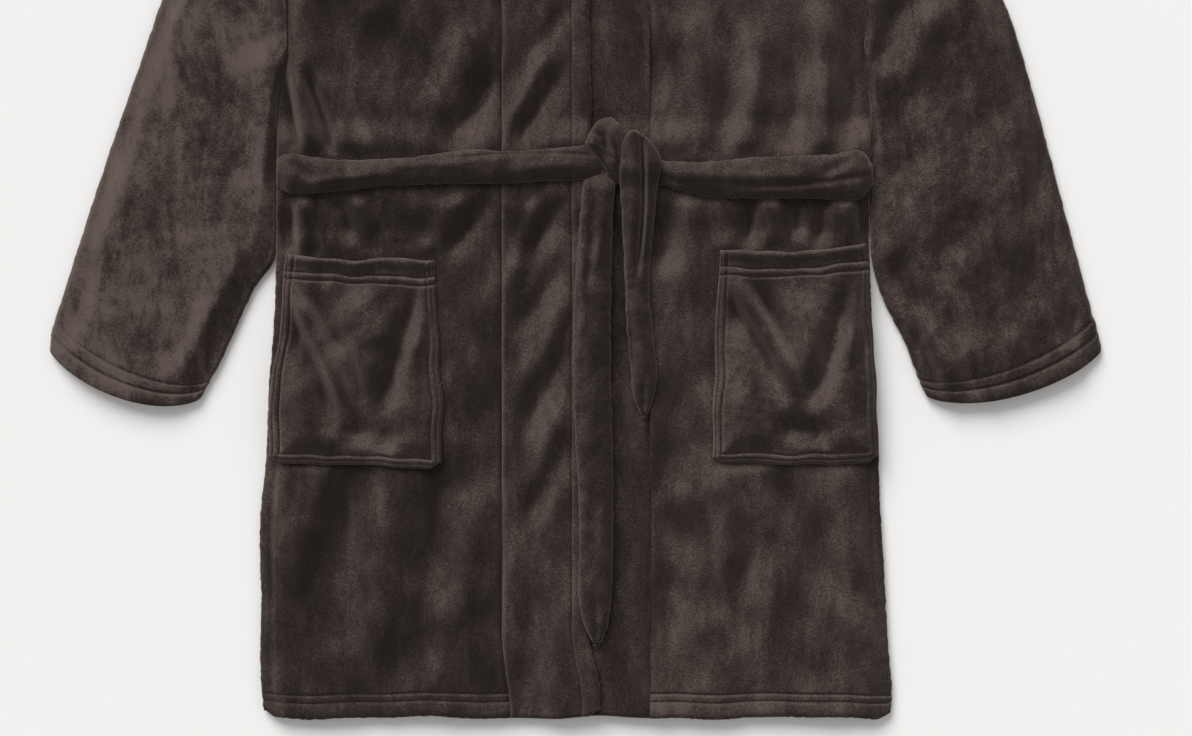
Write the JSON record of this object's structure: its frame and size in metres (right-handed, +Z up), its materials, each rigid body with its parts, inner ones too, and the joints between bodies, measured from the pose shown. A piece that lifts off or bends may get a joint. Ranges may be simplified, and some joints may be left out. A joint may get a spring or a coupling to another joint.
{
  "type": "bathrobe",
  "caption": "Dark plush bathrobe laid flat with its belt tied: wide front bands, shawl collar, two patch pockets, long sleeves and a hanging loop.",
  "frame": {"origin": "on the underside of the back at its centre line, half way between the hem and the neck points", "axes": "+X across the robe to the wearer's left, +Y from the hem to the collar, +Z up off the surface that the robe lies on"},
  "size_m": [1.104, 1.046, 0.0397],
  "materials": {
    "plush": "brushed coral fleece, dark warm brown-grey, matt with a soft sheen",
    "tape": "narrow woven tape, matt",
    "label": "plain woven label, blank, satin"
  },
  "bodies": {
    "robe": {"back_panel": "plush", "back_hem": "plush", "right_front_panel": "plush", "right_front_hem": "plush", "right_front_band": "plush", "left_front_panel": "plush", "left_front_hem": "plush", "left_front_band": "plush", "collar": "plush", "right_pocket": "plush", "right_pocket_hem": "plush", "left_pocket": "plush", "left_pocket_hem": "plush", "right_belt_loop": "plush", "left_belt_loop": "plush", "belt_back_run": "plush", "belt_right_run": "plush", "belt_left_run": "plush", "belt_knot": "plush", "neck_label": "label"},
    "right_sleeve": {"right_sleeve_upper": "plush", "right_sleeve_under": "plush", "right_cuff_hem": "plush"},
    "left_sleeve": {"left_sleeve_upper": "plush", "left_sleeve_under": "plush", "left_cuff_hem": "plush"},
    "long_tail": {"belt_long_tail": "plush"},
    "short_tail": {"belt_short_tail": "plush"},
    "hanger": {"hanging_loop": "tape"}
  },
  "joints": [
    {"name": "right_sleeve_fold", "type": "hinge", "parent": "robe", "child": "right_sleeve", "pos_m": [-0.30415, 0.3055, 0.0245], "axis": [0, 1, 0], "range_deg": [0, 180]},
    {"name": "left_sleeve_fold", "type": "hinge", "parent": "robe", "child": "left_sleeve", "pos_m": [0.30415, 0.3055, 0.0245], "axis": [0, -1, 0], "range_deg": [0, 180]},
    {"name": "long_tail_lift", "type": "hinge", "parent": "robe", "child": "long_tail", "pos_m": [0.019, 0.048, 0.0352], "axis": [-1, 0, 0], "range_deg": [0, 165]},
    {"name": "short_tail_lift", "type": "hinge", "parent": "robe", "child": "short_tail", "pos_m": [0.066, 0.048, 0.0352], "axis": [-1, 0, 0], "range_deg": [0, 165]},
    {"name": "hanging_loop_flip", "type": "hinge", "parent": "robe", "child": "hanger", "pos_m": [0, 0.4733, 0.0068], "axis": [-1, 0, 0], "range_deg": [0, 150]}
  ]
}
